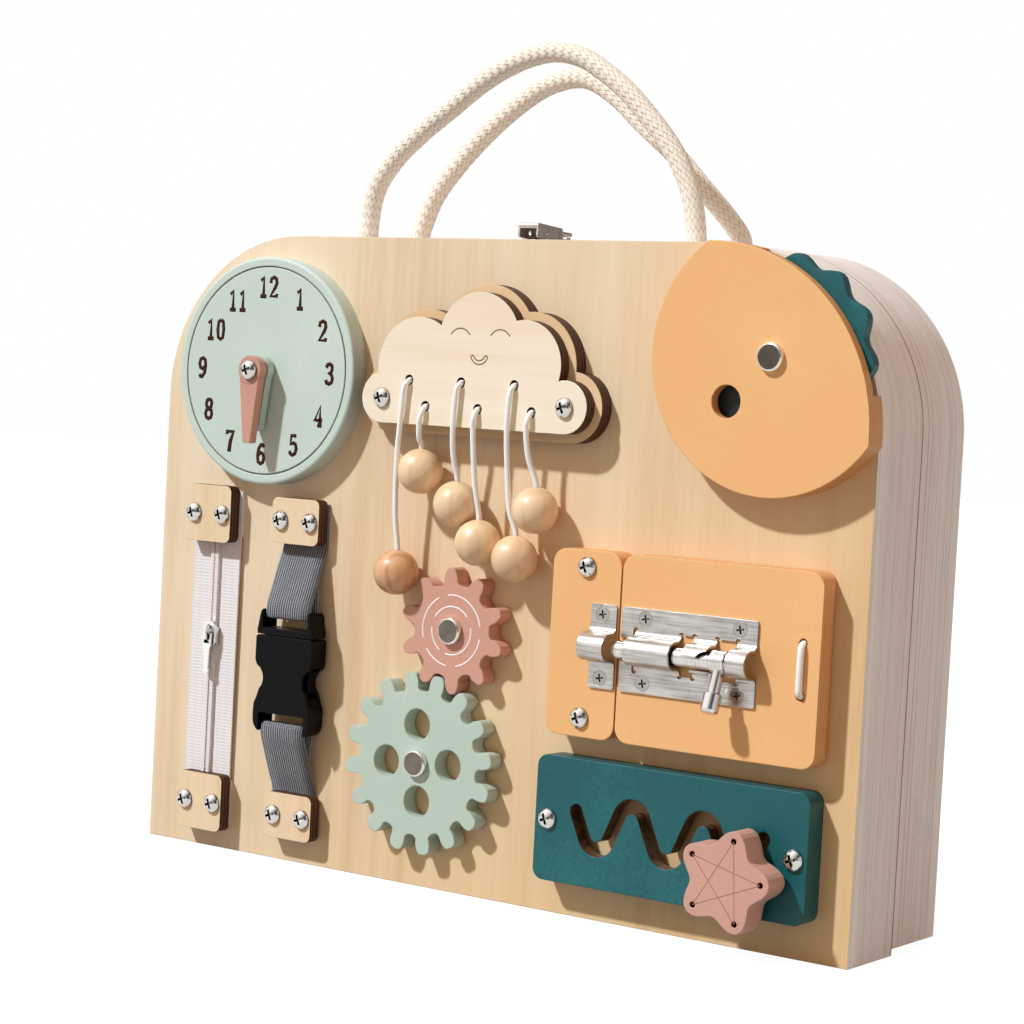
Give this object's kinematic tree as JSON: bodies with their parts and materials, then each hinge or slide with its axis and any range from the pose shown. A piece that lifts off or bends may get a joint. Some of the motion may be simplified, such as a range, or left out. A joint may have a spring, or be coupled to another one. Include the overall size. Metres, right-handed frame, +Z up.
{
  "type": "wooden busy board",
  "caption": "Folding plywood busy board case with rope handles, clock, cloud with balls, picture wheel, gears, bolted door, wave slot with star, zip and strap buckle on its front.",
  "frame": {"origin": "middle of the front shell's flat base, where it stands on a table", "axes": "+X right as seen from the front, +Y towards the back, +Z up"},
  "size_m": [0.3012, 0.0816, 0.297],
  "materials": {
    "board": "clear-sealed birch plywood face",
    "frame_ply": "whitewashed stacked plywood edge",
    "hardware": "nickel plated steel",
    "rope": "braided cotton",
    "mint_paint": "mint stained wood",
    "pink_paint": "pink stained wood",
    "orange_paint": "orange stained wood",
    "teal_paint": "dark teal stained wood",
    "birch": "bare birch with laser-cut edges",
    "tape": "woven zip tape with a nylon coil",
    "webbing": "ribbed polypropylene webbing",
    "buckle_plastic": "moulded acetal"
  },
  "bodies": {
    "front_half": {"front_panel": "board", "front_frame": "frame_ply", "hinge_leaves_front": "hardware", "hinge_pins": "hardware", "shell_screws_front": "hardware", "latch_base": "hardware", "rope_front": "rope", "clock_dial": "mint_paint", "clock_axle": "hardware", "cloud_back": "birch", "cloud_front": "birch", "string_left": "rope", "string_middle": "rope", "string_right": "rope", "wheel_spacer": "orange_paint", "wheel_cover": "orange_paint", "axle_rivets": "hardware", "door_block": "orange_paint", "bolt_keeper": "hardware", "keeper_screws": "hardware", "door_cord": "rope", "wave_plate": "teal_paint", "board_screws": "hardware", "zip_clamps": "birch", "zip_tapes": "tape", "strap_clamps": "birch", "strap_upper": "webbing", "strap_lower": "webbing", "buckle_female": "buckle_plastic"},
    "rear_half": {"rear_frame": "frame_ply", "rear_panel": "board", "hinge_leaves_rear": "hardware", "shell_screws_rear": "hardware", "latch_catch": "hardware", "rope_rear": "rope"},
    "latch_lever": {"latch_lever": "hardware"},
    "latch_loop": {"latch_loop": "hardware"},
    "hour_hand": {"hour_hand": "mint_paint"},
    "minute_hand": {"minute_hand": "pink_paint"},
    "scalloped_wheel": {"scalloped_wheel": "teal_paint"},
    "small_gear": {"small_gear": "pink_paint"},
    "large_gear": {"large_gear": "mint_paint"},
    "ball_1": {"ball_1": "birch"},
    "ball_2": {"ball_2": "birch"},
    "ball_3": {"ball_3": "birch"},
    "ball_4": {"ball_4": "birch"},
    "ball_5": {"ball_5": "birch"},
    "ball_6": {"ball_6": "birch"},
    "door": {"door_panel": "orange_paint", "bolt_plate": "hardware", "bolt_screws": "hardware"},
    "bolt": {"bolt_rod": "hardware"},
    "bolt_knob": {"bolt_knob": "hardware"},
    "star_screw": {"star_screw": "hardware"},
    "star": {"star_knob": "pink_paint"},
    "zip_slider": {"zip_slider": "hardware"},
    "zip_pull": {"zip_pull": "hardware"},
    "buckle_male": {"buckle_male": "buckle_plastic"},
    "prong_left": {"buckle_prong_left": "buckle_plastic"},
    "prong_right": {"buckle_prong_right": "buckle_plastic"}
  },
  "joints": [
    {"name": "case_open", "type": "hinge", "parent": "front_half", "child": "rear_half", "pos_m": [0, 0.015, 0.001], "axis": [-1, 0, 0], "range_deg": [0, 180]},
    {"name": "latch_lift", "type": "hinge", "parent": "front_half", "child": "latch_lever", "pos_m": [0, 0.0148, 0.2309], "axis": [-1, 0, 0], "range_deg": [0, 90]},
    {"name": "latch_loop_swing", "type": "hinge", "parent": "latch_lever", "child": "latch_loop", "pos_m": [0, 0.0158, 0.2328], "axis": [-1, 0, 0], "range_deg": [-118, 0]},
    {"name": "hour_turn", "type": "hinge", "parent": "front_half", "child": "hour_hand", "pos_m": [-0.097, -0.025, 0.1785], "axis": [0, 1, 0], "continuous": true},
    {"name": "minute_turn", "type": "hinge", "parent": "front_half", "child": "minute_hand", "pos_m": [-0.097, -0.0292, 0.1785], "axis": [0, 1, 0], "continuous": true},
    {"name": "wheel_turn", "type": "hinge", "parent": "front_half", "child": "scalloped_wheel", "pos_m": [0.1151, -0.0176, 0.1913], "axis": [0, 1, 0], "continuous": true},
    {"name": "large_gear_turn", "type": "hinge", "parent": "front_half", "child": "large_gear", "pos_m": [-0.01876, -0.019, 0.04448], "axis": [0, 1, 0], "continuous": true},
    {"name": "small_gear_turn", "type": "hinge", "parent": "front_half", "child": "small_gear", "pos_m": [-0.0068, -0.019, 0.0921], "axis": [0, 1, 0], "continuous": true},
    {"name": "left_pull", "type": "slide", "parent": "front_half", "child": "ball_1", "axis": [0, -0.7071, -0.7071], "range_m": [0, 0.0052], "deforming": ["string_left"]},
    {"name": "left_lift", "type": "slide", "parent": "front_half", "child": "ball_2", "axis": [0, 0, 1], "range_m": [0, 0.0052]},
    {"name": "middle_pull", "type": "slide", "parent": "front_half", "child": "ball_4", "axis": [0, -0.7071, -0.7071], "range_m": [0, 0.015], "deforming": ["string_middle"]},
    {"name": "middle_lift", "type": "slide", "parent": "front_half", "child": "ball_3", "axis": [0, 0, 1], "range_m": [0, 0.015]},
    {"name": "right_pull", "type": "slide", "parent": "front_half", "child": "ball_5", "axis": [0, -0.7071, -0.7071], "range_m": [0, 0.015], "deforming": ["string_right"]},
    {"name": "right_lift", "type": "slide", "parent": "front_half", "child": "ball_6", "axis": [0, 0, 1], "range_m": [0, 0.015]},
    {"name": "door_swing", "type": "hinge", "parent": "front_half", "child": "door", "pos_m": [0.1368, -0.0174, 0.09355], "axis": [0, 0, 1], "range_deg": [0, 90], "deforming": ["door_cord"]},
    {"name": "bolt_slide", "type": "slide", "parent": "door", "child": "bolt", "axis": [1, 0, 0], "range_m": [-0.0148, 0]},
    {"name": "bolt_turn", "type": "hinge", "parent": "bolt", "child": "bolt_knob", "pos_m": [0.1053, -0.0282, 0.0935], "axis": [-1, 0, 0], "range_deg": [-20, 140]},
    {"name": "star_slide", "type": "slide", "parent": "front_half", "child": "star_screw", "axis": [0.4025, 0, 0.9154], "range_m": [0, 0.014]},
    {"name": "star_turn", "type": "hinge", "parent": "star_screw", "child": "star", "pos_m": [0.11543, -0.031, 0.02523], "axis": [0, 1, 0], "continuous": true},
    {"name": "zip_slide", "type": "slide", "parent": "front_half", "child": "zip_slider", "axis": [0, 0, 1], "range_m": [-0.035, 0.028]},
    {"name": "zip_pull_swing", "type": "hinge", "parent": "zip_slider", "child": "zip_pull", "pos_m": [-0.121, -0.0199, 0.0798], "axis": [-1, 0, 0], "range_deg": [0, 110]},
    {"name": "buckle_slide", "type": "slide", "parent": "front_half", "child": "buckle_male", "axis": [0, 0, 1], "range_m": [0, 0.022], "deforming": ["strap_upper"]},
    {"name": "prong_left_bend", "type": "hinge", "parent": "buckle_male", "child": "prong_left", "pos_m": [-0.088, -0.0215, 0.084], "axis": [0, 1, 0], "range_deg": [-3.5, 5], "stiffness_Nm_per_rad": 0.02},
    {"name": "prong_right_bend", "type": "hinge", "parent": "buckle_male", "child": "prong_right", "pos_m": [-0.07, -0.0215, 0.084], "axis": [0, 1, 0], "range_deg": [-5, 3.5]}
  ],
  "couplings": [
    {"joint": "latch_loop_swing", "follows": "latch_lift", "ratio": -1.28},
    {"joint": "small_gear_turn", "follows": "large_gear_turn", "ratio": -1.6},
    {"joint": "left_lift", "follows": "left_pull", "ratio": 1},
    {"joint": "middle_lift", "follows": "middle_pull", "ratio": 1},
    {"joint": "right_lift", "follows": "right_pull", "ratio": 1},
    {"joint": "prong_right_bend", "follows": "prong_left_bend", "ratio": -1}
  ]
}
